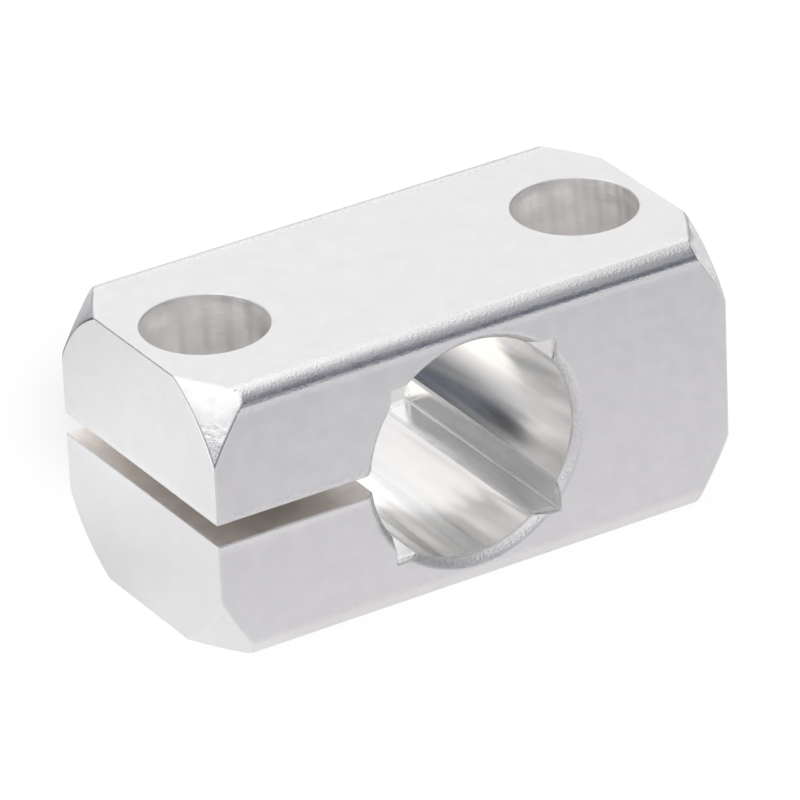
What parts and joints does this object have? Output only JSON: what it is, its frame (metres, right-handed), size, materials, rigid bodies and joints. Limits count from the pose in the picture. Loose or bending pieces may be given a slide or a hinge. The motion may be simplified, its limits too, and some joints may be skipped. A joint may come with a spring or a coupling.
{
  "type": "split connecting clamp block",
  "caption": "Square-bar clamp block with a slotted, grooved bore across it for a round tube, and a counterbored screw hole through each end.",
  "frame": {"origin": "centre of the block, on the axis of the tube bore", "axes": "+X along the block to its solid end, +Y through the tube bore, +Z out of the face that the screw heads sink into"},
  "size_m": [0.0508, 0.025, 0.025],
  "materials": {
    "machined_aluminium": "bare machined and tumbled aluminium"
  },
  "bodies": {
    "root": {"clamp_block": "machined_aluminium"}
  },
  "joints": []
}
